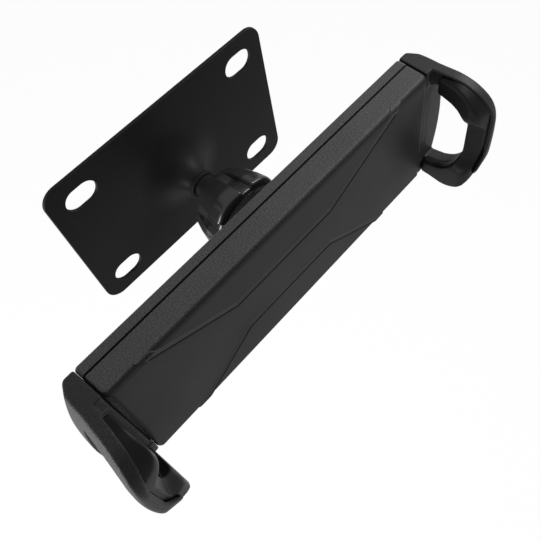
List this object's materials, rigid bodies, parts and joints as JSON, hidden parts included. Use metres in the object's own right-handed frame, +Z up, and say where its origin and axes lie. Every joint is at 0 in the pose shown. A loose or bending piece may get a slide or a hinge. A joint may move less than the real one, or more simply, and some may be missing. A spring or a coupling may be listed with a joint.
{
  "type": "tablet wall mount",
  "caption": "Wall mount for a tablet: slotted steel plate, ball joint with a grip nut, and a slim holder whose two padded claws slide apart against springs.",
  "frame": {"origin": "centre of the plate's wall face", "axes": "+X along the holder and the plate's long side, +Y into the wall, +Z up"},
  "size_m": [0.1812, 0.086, 0.07],
  "materials": {
    "plate": "fine matt powder coat, black",
    "stud": "black, satin",
    "screws": "zinc plated",
    "seats": "natural nylon",
    "socket": "gloss, black",
    "collar": "satin gloss, black",
    "housing_rear": "fine grain, black",
    "housing_front": "satin face with fine-grain edges, black",
    "claw": "fine grain, black",
    "pad": "smooth satin rubber, black",
    "arm": "moulded, black",
    "pinion": "natural acetal",
    "spring": "bright wire"
  },
  "bodies": {
    "wall": {"wall_plate": "plate", "ball_stud": "stud", "stud_washer": "screws", "stud_screw": "screws"},
    "tilt_seat": {"seat_cap": "seats"},
    "pan_seat": {"seat_ring": "seats"},
    "holder": {"socket_cup": "socket", "socket_screws": "screws", "rear_cover": "housing_rear", "front_cover": "housing_front", "cover_screws": "screws", "left_spring": "spring", "right_spring": "spring"},
    "collar": {"collar_nut": "collar"},
    "left_slider": {"left_arm": "arm", "left_claw": "claw", "left_pad": "pad", "left_claw_screws": "screws"},
    "right_slider": {"right_arm": "arm", "right_claw": "claw", "right_pad": "pad", "right_claw_screws": "screws"},
    "gear": {"pinion": "pinion"}
  },
  "joints": [
    {"name": "tilt", "type": "hinge", "parent": "wall", "child": "tilt_seat", "pos_m": [0, -0.0277, 0], "axis": [1, 0, 0], "range_deg": [-14, 14]},
    {"name": "pan", "type": "hinge", "parent": "tilt_seat", "child": "pan_seat", "pos_m": [0, -0.0277, 0], "axis": [0, 0, 1], "range_deg": [-14, 14]},
    {"name": "roll", "type": "hinge", "parent": "pan_seat", "child": "holder", "pos_m": [0, -0.0277, 0], "axis": [0, 1, 0], "continuous": true},
    {"name": "collar_turn", "type": "hinge", "parent": "holder", "child": "collar", "pos_m": [0, -0.0277, 0], "axis": [0, 1, 0], "range_deg": [-90, 0]},
    {"name": "left_slide", "type": "slide", "parent": "holder", "child": "left_slider", "axis": [-1, 0, 0], "range_m": [0, 0.03], "stiffness_N_per_m": 300, "springref_m": -0.03},
    {"name": "right_slide", "type": "slide", "parent": "holder", "child": "right_slider", "axis": [1, 0, 0], "range_m": [0, 0.03], "stiffness_N_per_m": 300, "springref_m": -0.03},
    {"name": "pinion_spin", "type": "hinge", "parent": "holder", "child": "gear", "pos_m": [-0.0037, -0.0533, 0], "axis": [0, -1, 0], "range_deg": [0, 240]}
  ],
  "couplings": [
    {"joint": "right_slide", "follows": "left_slide", "ratio": 1},
    {"joint": "pinion_spin", "follows": "left_slide", "rad_per_m": 138.89}
  ]
}
